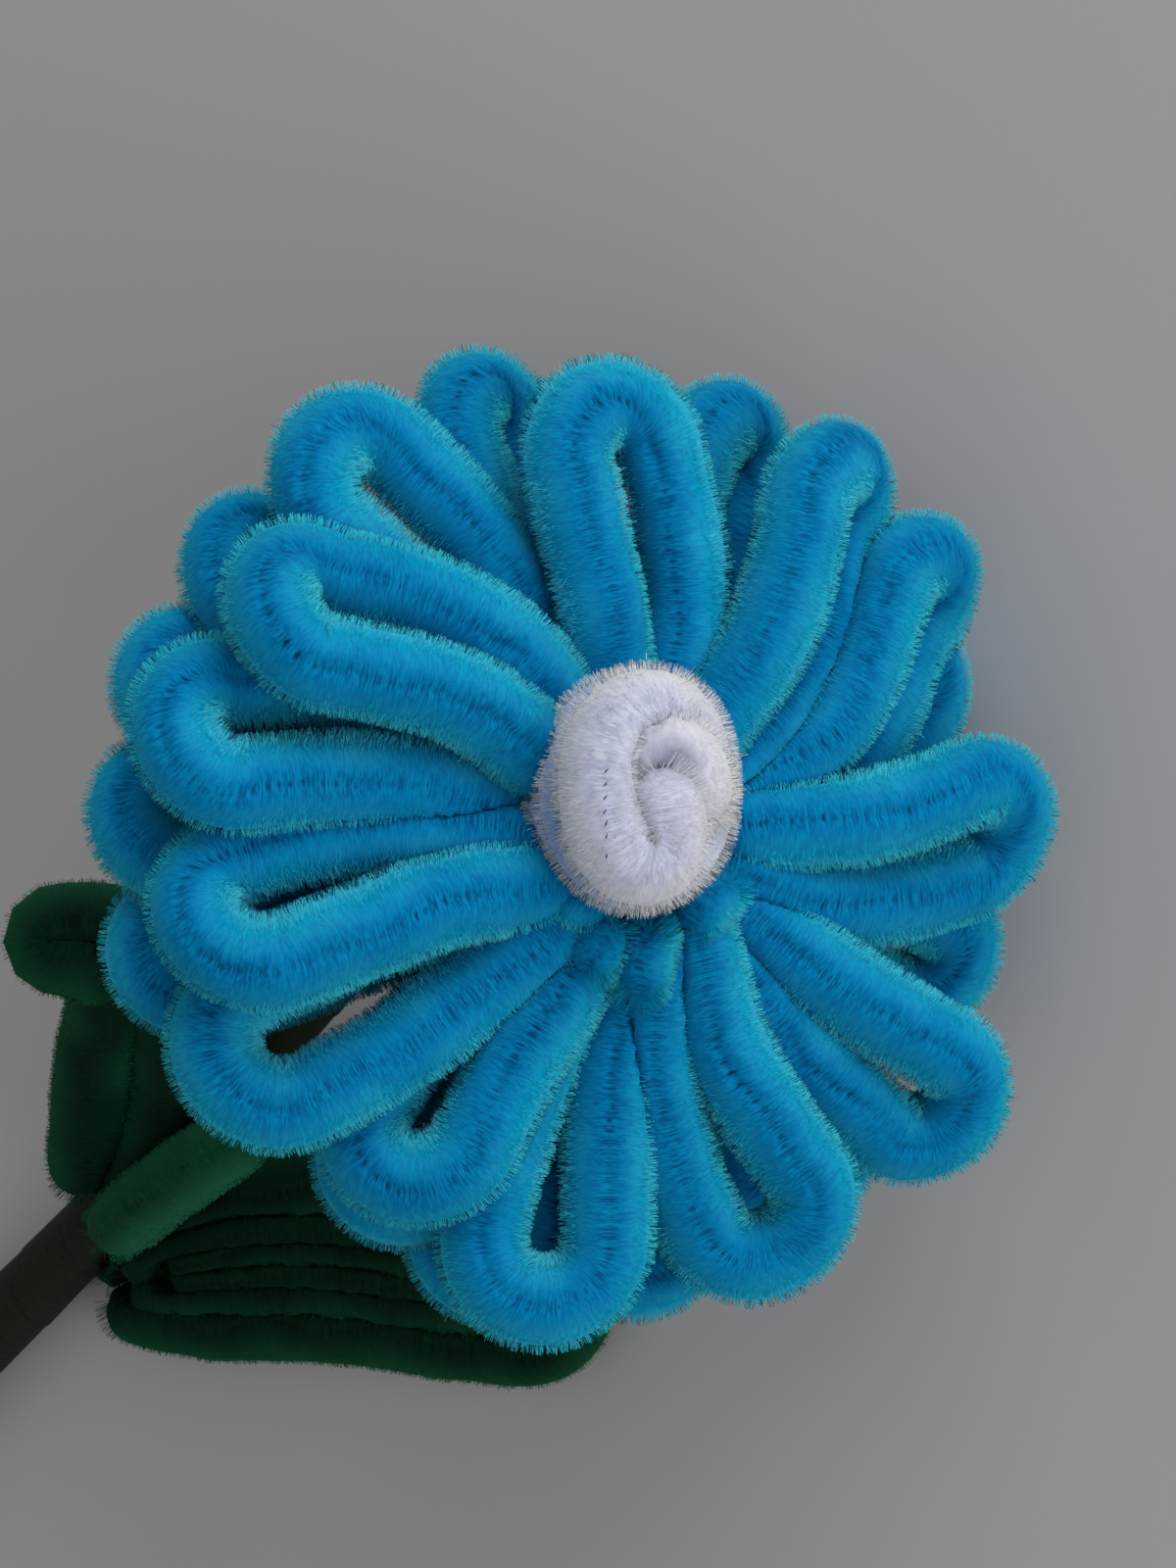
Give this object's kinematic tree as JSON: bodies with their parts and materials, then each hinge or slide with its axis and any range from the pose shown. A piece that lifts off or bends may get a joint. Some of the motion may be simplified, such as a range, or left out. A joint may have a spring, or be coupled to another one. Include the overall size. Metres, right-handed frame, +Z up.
{
  "type": "chenille stem flower",
  "caption": "Handmade flower lying on its side: two rings of looped blue chenille petals, a coiled white centre, a taped wire stem and looped green leaves.",
  "frame": {"origin": "middle of the flower's outline, on the surface that it lies on", "axes": "+Z up from the surface, +Y the way the stem runs back from the head, the face looking toward -Y and up"},
  "size_m": [0.0992, 0.1516, 0.061],
  "materials": {
    "blue_chenille": "fuzzy cut pile",
    "deep_blue_chenille": "fuzzy cut pile",
    "white_chenille": "fuzzy cut pile",
    "green_chenille": "fuzzy cut pile",
    "stem_tape": "waxed crepe paper tape",
    "steel_wire": "bright drawn wire"
  },
  "bodies": {
    "root": {"front_petal_01": "blue_chenille", "front_petal_02": "blue_chenille", "front_petal_03": "blue_chenille", "front_petal_04": "blue_chenille", "front_petal_05": "blue_chenille", "front_petal_06": "blue_chenille", "front_petal_07": "blue_chenille", "front_petal_08": "blue_chenille", "front_petal_09": "blue_chenille", "front_petal_10": "blue_chenille", "front_petal_11": "blue_chenille", "front_petal_12": "blue_chenille", "front_petal_13": "blue_chenille", "back_petal_01": "deep_blue_chenille", "back_petal_02": "deep_blue_chenille", "back_petal_03": "deep_blue_chenille", "back_petal_04": "deep_blue_chenille", "back_petal_05": "deep_blue_chenille", "back_petal_06": "deep_blue_chenille", "back_petal_07": "deep_blue_chenille", "back_petal_08": "deep_blue_chenille", "back_petal_09": "deep_blue_chenille", "back_petal_10": "deep_blue_chenille", "back_petal_11": "deep_blue_chenille", "back_petal_12": "deep_blue_chenille", "centre_coil": "white_chenille", "hub": "deep_blue_chenille", "stem_tape": "stem_tape", "stem_wire": "steel_wire", "large_leaf_1": "green_chenille", "large_leaf_2": "green_chenille", "large_leaf_3": "green_chenille", "curled_leaf": "green_chenille", "small_leaf": "green_chenille"}
  },
  "joints": []
}
